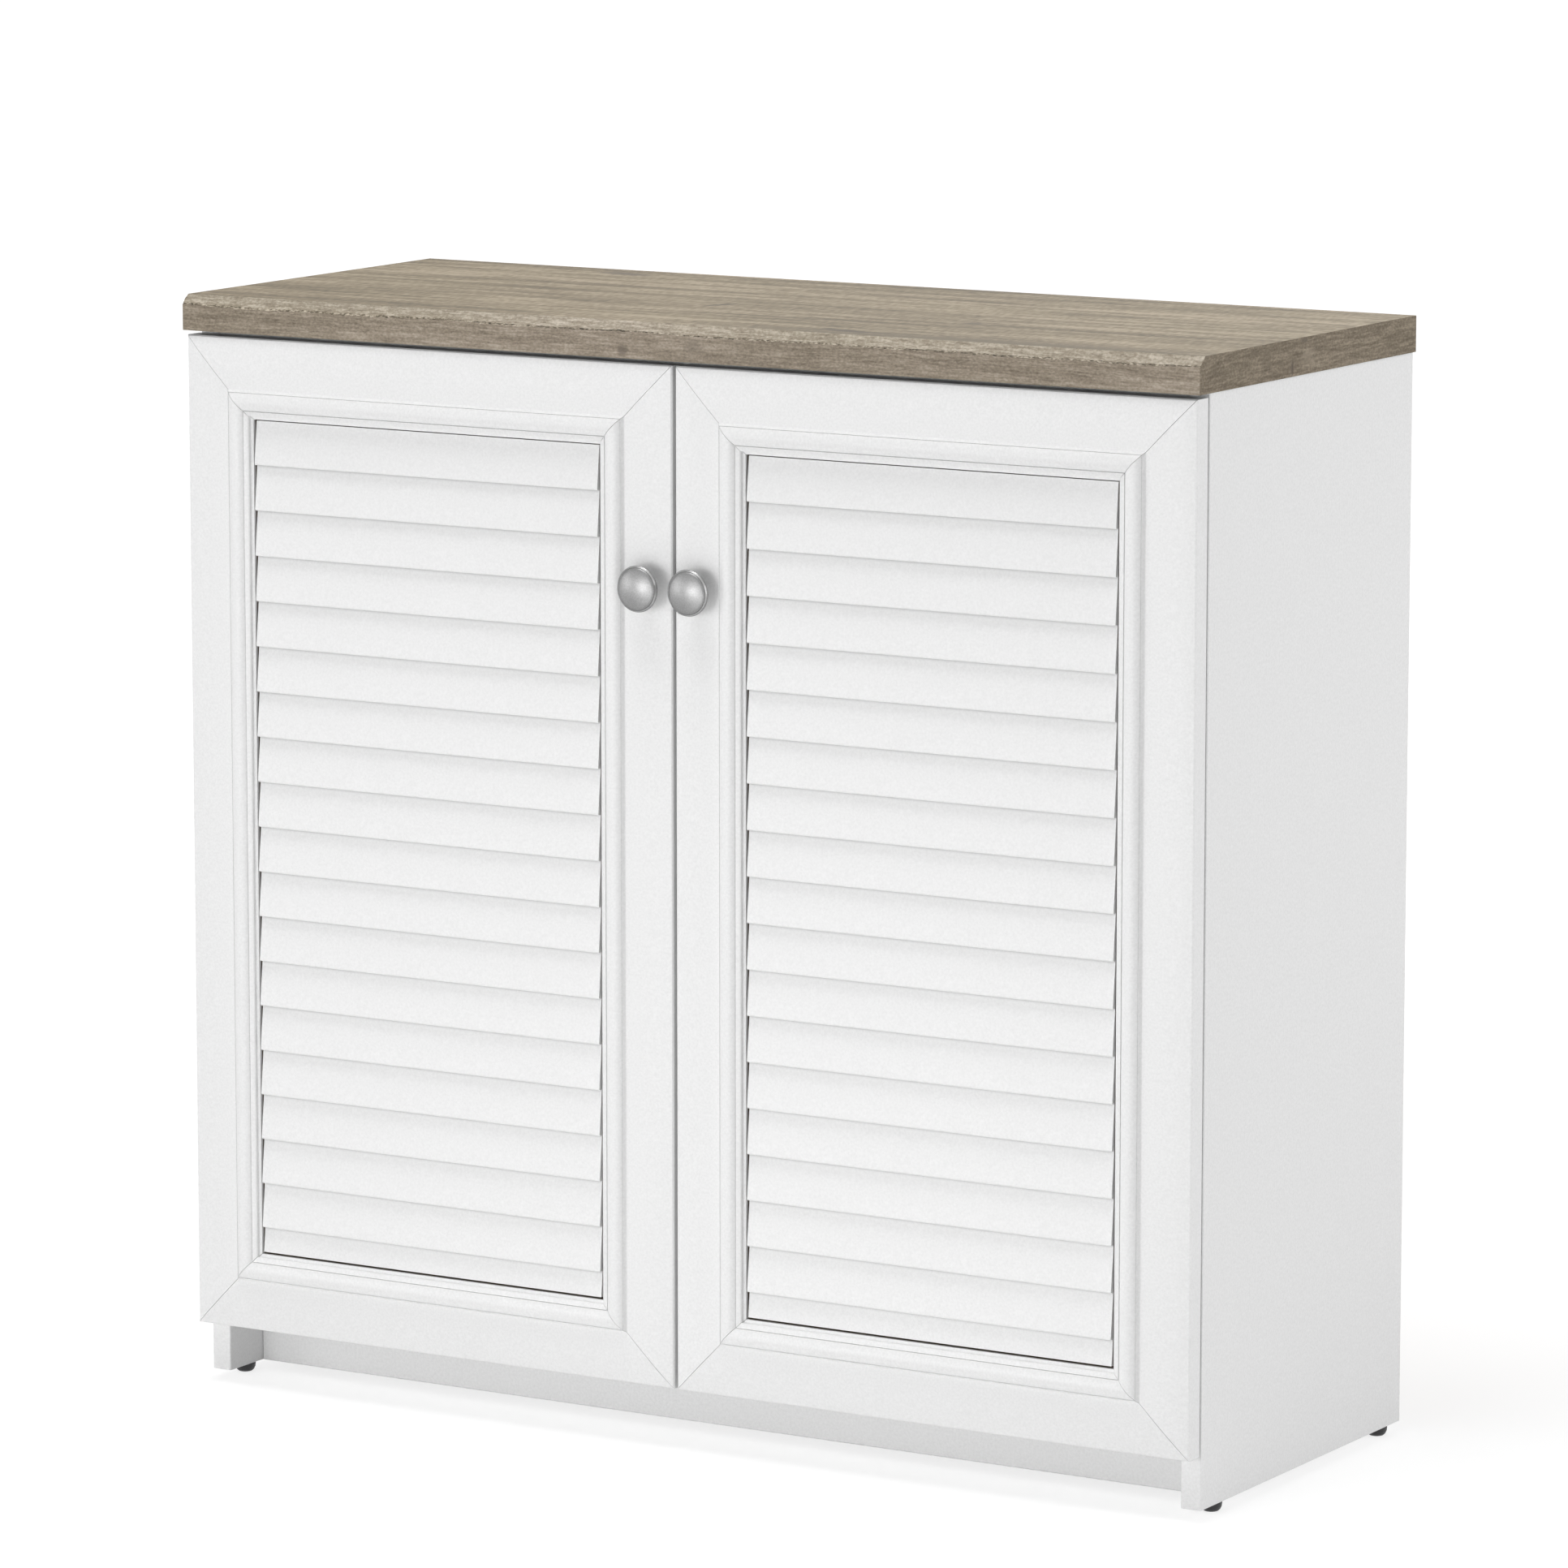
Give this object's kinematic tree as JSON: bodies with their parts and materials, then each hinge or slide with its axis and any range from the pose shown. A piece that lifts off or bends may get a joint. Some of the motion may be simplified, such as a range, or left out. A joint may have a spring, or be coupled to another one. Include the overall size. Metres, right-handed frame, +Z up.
{
  "type": "storage cabinet",
  "caption": "Low white storage cabinet with a wood-look top, framed louvre-effect doors on concealed hinges, round knobs and adjustable shelves.",
  "frame": {"origin": "on the floor under the middle of the cabinet's bounding box", "axes": "+Z up, +X along the width to the right of someone facing the doors, +Y from the doors to the back"},
  "size_m": [0.806, 0.3318, 0.7813],
  "materials": {
    "white_laminate": "white melamine laminate on particle board, satin",
    "white_foil": "white foil wrapped round fibreboard, satin",
    "weathered_wood": "grey-brown weathered wood look with fine straight grain, matt",
    "white_hardboard": "thin hardboard, white on the inside, matt",
    "satin_nickel": "satin nickel plating",
    "nickel_plated_steel": "bright nickel-plated steel",
    "black_plastic": "moulded black plastic",
    "clear_rubber": "clear soft bumper"
  },
  "bodies": {
    "carcass": {"left_side_panel": "white_laminate", "right_side_panel": "white_laminate", "worktop": "weathered_wood", "bottom_panel": "white_laminate", "toe_kick": "white_laminate", "front_top_rail": "white_laminate", "back_top_rail": "white_laminate", "back_panel": "white_hardboard", "lower_shelf": "white_laminate", "upper_shelf": "white_laminate", "lower_shelf_pin_front_left": "nickel_plated_steel", "lower_shelf_pin_front_right": "nickel_plated_steel", "lower_shelf_pin_rear_left": "nickel_plated_steel", "lower_shelf_pin_rear_right": "nickel_plated_steel", "upper_shelf_pin_front_left": "nickel_plated_steel", "upper_shelf_pin_front_right": "nickel_plated_steel", "upper_shelf_pin_rear_left": "nickel_plated_steel", "upper_shelf_pin_rear_right": "nickel_plated_steel", "glide_front_left": "black_plastic", "glide_front_right": "black_plastic", "glide_rear_left": "black_plastic", "glide_rear_right": "black_plastic", "left_lower_hinge_plate": "nickel_plated_steel", "left_lower_hinge_arm": "nickel_plated_steel", "left_upper_hinge_plate": "nickel_plated_steel", "left_upper_hinge_arm": "nickel_plated_steel", "right_lower_hinge_plate": "nickel_plated_steel", "right_lower_hinge_arm": "nickel_plated_steel", "right_upper_hinge_plate": "nickel_plated_steel", "right_upper_hinge_arm": "nickel_plated_steel"},
    "left_door": {"left_door_hinge_stile": "white_foil", "left_door_knob_stile": "white_foil", "left_door_bottom_rail": "white_foil", "left_door_top_rail": "white_foil", "left_door_louvre_panel": "white_foil", "left_knob": "satin_nickel", "left_knob_screw": "nickel_plated_steel", "left_lower_hinge_cup": "nickel_plated_steel", "left_lower_hinge_pin": "nickel_plated_steel", "left_upper_hinge_cup": "nickel_plated_steel", "left_upper_hinge_pin": "nickel_plated_steel", "left_lower_bumper": "clear_rubber", "left_upper_bumper": "clear_rubber"},
    "right_door": {"right_door_hinge_stile": "white_foil", "right_door_knob_stile": "white_foil", "right_door_bottom_rail": "white_foil", "right_door_top_rail": "white_foil", "right_door_louvre_panel": "white_foil", "right_knob": "satin_nickel", "right_knob_screw": "nickel_plated_steel", "right_lower_hinge_cup": "nickel_plated_steel", "right_lower_hinge_pin": "nickel_plated_steel", "right_upper_hinge_cup": "nickel_plated_steel", "right_upper_hinge_pin": "nickel_plated_steel", "right_lower_bumper": "clear_rubber", "right_upper_bumper": "clear_rubber"}
  },
  "joints": [
    {"name": "left_door_hinge", "type": "hinge", "parent": "carcass", "child": "left_door", "pos_m": [-0.3946, -0.14157, 0.3985], "axis": [0, 0, -1], "range_deg": [0, 95]},
    {"name": "right_door_hinge", "type": "hinge", "parent": "carcass", "child": "right_door", "pos_m": [0.3946, -0.14157, 0.3985], "axis": [0, 0, 1], "range_deg": [0, 95]}
  ]
}
